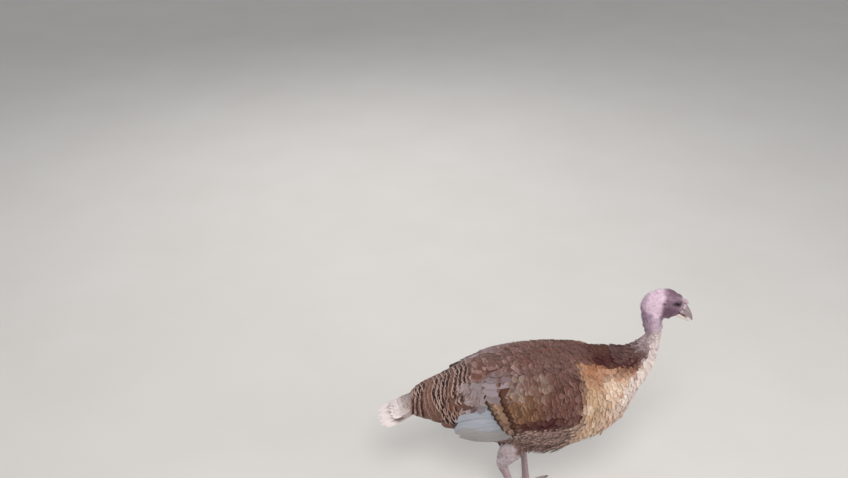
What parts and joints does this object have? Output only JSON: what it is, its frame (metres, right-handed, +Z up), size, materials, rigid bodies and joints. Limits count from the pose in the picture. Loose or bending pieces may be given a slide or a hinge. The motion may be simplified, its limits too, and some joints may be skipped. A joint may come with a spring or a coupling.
{
  "type": "domestic turkey",
  "caption": "Life-size young domestic turkey standing with its head up: bare head and upper neck, folded wings, barred rump, short closed tail and bare scaled legs.",
  "frame": {"origin": "bottom centre of the bird's box, on the floor under the body", "axes": "+X is the way the bird faces, +Y is its left side, +Z is up"},
  "size_m": [0.7358, 0.2482, 0.6514],
  "materials": {
    "bare_skin": "soft bare skin, pale pink and mauve",
    "bill_horn": "satin horn",
    "tongue_skin": "moist skin",
    "eye": "wet gloss",
    "neck_feather": "small soft feathers, cream",
    "body_feather": "matt feathers, reddish brown",
    "wing_feather": "matt feathers, reddish brown with pale tips",
    "flight_feather": "smooth stiff feathers, white",
    "tail_feather": "smooth stiff feathers, grey with a pale tip",
    "thigh_feather": "small soft feathers, pale",
    "leg_scale": "scaled skin, pinkish grey",
    "claw_horn": "dull horn"
  },
  "bodies": {
    "root": {"head": "bare_skin", "snood": "bare_skin", "neck_upper": "bare_skin", "bill_upper": "bill_horn", "bill_lower": "bill_horn", "tongue": "tongue_skin", "eye_left": "eye", "eye_right": "eye", "neck_lower": "neck_feather", "trunk": "body_feather", "tail": "tail_feather", "wing_left": "wing_feather", "wing_right": "wing_feather", "flight_left": "flight_feather", "flight_right": "flight_feather", "thigh_left": "thigh_feather", "thigh_right": "thigh_feather", "shank_left": "leg_scale", "shank_right": "leg_scale", "foot_left": "leg_scale", "foot_right": "leg_scale", "claw_inner_left": "claw_horn", "claw_middle_left": "claw_horn", "claw_outer_left": "claw_horn", "claw_hind_left": "claw_horn", "claw_inner_right": "claw_horn", "claw_middle_right": "claw_horn", "claw_outer_right": "claw_horn", "claw_hind_right": "claw_horn"}
  },
  "joints": []
}
